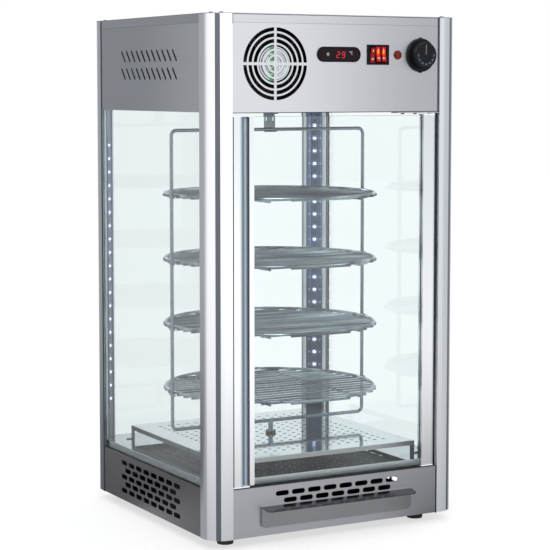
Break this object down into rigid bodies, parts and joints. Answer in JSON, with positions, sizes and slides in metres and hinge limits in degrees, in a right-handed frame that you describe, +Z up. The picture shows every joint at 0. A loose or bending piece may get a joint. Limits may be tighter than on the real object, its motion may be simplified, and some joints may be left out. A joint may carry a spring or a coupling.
{
  "type": "heated pizza display case",
  "caption": "Counter-top heated display case: aluminium corner posts, glass sides, hinged glass door, turning wire rack, control head and drawer.",
  "frame": {"origin": "centre of the bounding box's footprint, at the underside of the feet", "axes": "+X to the right seen from the front, +Y to the back, +Z up"},
  "size_m": [0.459, 0.491, 0.8392],
  "materials": {
    "aluminium": "satin",
    "lid_steel": "satin",
    "fascia_steel": "satin",
    "side_steel": "satin",
    "base_steel": "satin",
    "base_front_steel": "satin",
    "mirror_steel": "polished",
    "inner_steel": "satin",
    "plated_wire": "polished",
    "plated_part": "polished",
    "trim_plastic": "matte",
    "black_plastic": "matte",
    "bezel_plastic": "gloss",
    "display_lens": "gloss",
    "rocker_red": "gloss",
    "lamp_lens": "gloss",
    "white_plastic": "matte",
    "clear_glass": "polished",
    "rubber_seal": "matte",
    "foot_rubber": "matte",
    "bronze_bush": "satin",
    "heater_steel": "satin",
    "led_tape": "matte"
  },
  "bodies": {
    "cabinet": {"post_front_left": "aluminium", "post_front_right": "aluminium", "post_back_left": "aluminium", "post_back_right": "aluminium", "post_trims": "trim_plastic", "lid": "lid_steel", "fasteners": "plated_part", "control_fascia": "fascia_steel", "head_panel_left": "side_steel", "head_panel_right": "side_steel", "head_panel_back": "side_steel", "ceiling_panel": "inner_steel", "fan_housing": "black_plastic", "display_module": "bezel_plastic", "display_window": "display_lens", "switch_housing": "bezel_plastic", "pilot_lamp": "lamp_lens", "thermostat_body": "inner_steel", "rack_motor": "inner_steel", "led_driver": "white_plastic", "terminal_block": "white_plastic", "glass_left": "clear_glass", "glass_right": "clear_glass", "glass_back": "clear_glass", "glass_gaskets": "rubber_seal", "base_panel_front": "base_front_steel", "base_panel_left": "base_steel", "base_panel_right": "base_steel", "base_panel_back": "base_steel", "base_pan": "inner_steel", "floor_plate": "mirror_steel", "deck": "mirror_steel", "bottom_bush": "bronze_bush", "heater_element": "heater_steel", "drawer_runners": "inner_steel", "feet": "foot_rubber", "lower_pivot": "black_plastic", "upper_pivot": "plated_part", "led_channels": "aluminium", "led_strips": "led_tape", "cable_gland": "black_plastic"},
    "door": {"door_glass": "clear_glass", "handle_stile": "aluminium", "hinge_stile": "aluminium", "door_caps": "white_plastic"},
    "rack": {"drive_shaft": "plated_part", "hanger_bracket": "plated_part", "rack_frame": "plated_wire", "shelf_1": "plated_wire", "shelf_2": "plated_wire", "shelf_3": "plated_wire", "shelf_4": "plated_wire"},
    "fan": {"fan_rotor": "black_plastic"},
    "knob": {"knob_shaft": "plated_part", "knob": "black_plastic"},
    "rocker_left": {"rocker_left": "rocker_red"},
    "rocker_middle": {"rocker_middle": "rocker_red"},
    "rocker_right": {"rocker_right": "rocker_red"},
    "drawer": {"drawer_tray": "inner_steel", "drawer_front": "base_front_steel"}
  },
  "joints": [
    {"name": "door_hinge", "type": "hinge", "parent": "cabinet", "child": "door", "pos_m": [0.1778, -0.2135, 0.385], "axis": [0, 0, 1], "range_deg": [0, 110]},
    {"name": "rack_turn", "type": "hinge", "parent": "cabinet", "child": "rack", "pos_m": [0, 0.0065, 0.4], "axis": [0, 0, 1], "continuous": true},
    {"name": "fan_spin", "type": "hinge", "parent": "cabinet", "child": "fan", "pos_m": [-0.1156, -0.2105, 0.7595], "axis": [0, 1, 0], "continuous": true},
    {"name": "thermostat_turn", "type": "hinge", "parent": "cabinet", "child": "knob", "pos_m": [0.153, -0.2205, 0.775], "axis": [0, 1, 0], "range_deg": [0, 270]},
    {"name": "switch_left", "type": "hinge", "parent": "cabinet", "child": "rocker_left", "pos_m": [0.0616, -0.2165, 0.775], "axis": [1, 0, 0], "range_deg": [-14, 0]},
    {"name": "switch_middle", "type": "hinge", "parent": "cabinet", "child": "rocker_middle", "pos_m": [0.072, -0.2165, 0.775], "axis": [1, 0, 0], "range_deg": [0, 14]},
    {"name": "switch_right", "type": "hinge", "parent": "cabinet", "child": "rocker_right", "pos_m": [0.0824, -0.2165, 0.775], "axis": [1, 0, 0], "range_deg": [0, 14]},
    {"name": "drawer_slide", "type": "slide", "parent": "cabinet", "child": "drawer", "axis": [0, -1, 0], "range_m": [0, 0.25]}
  ]
}
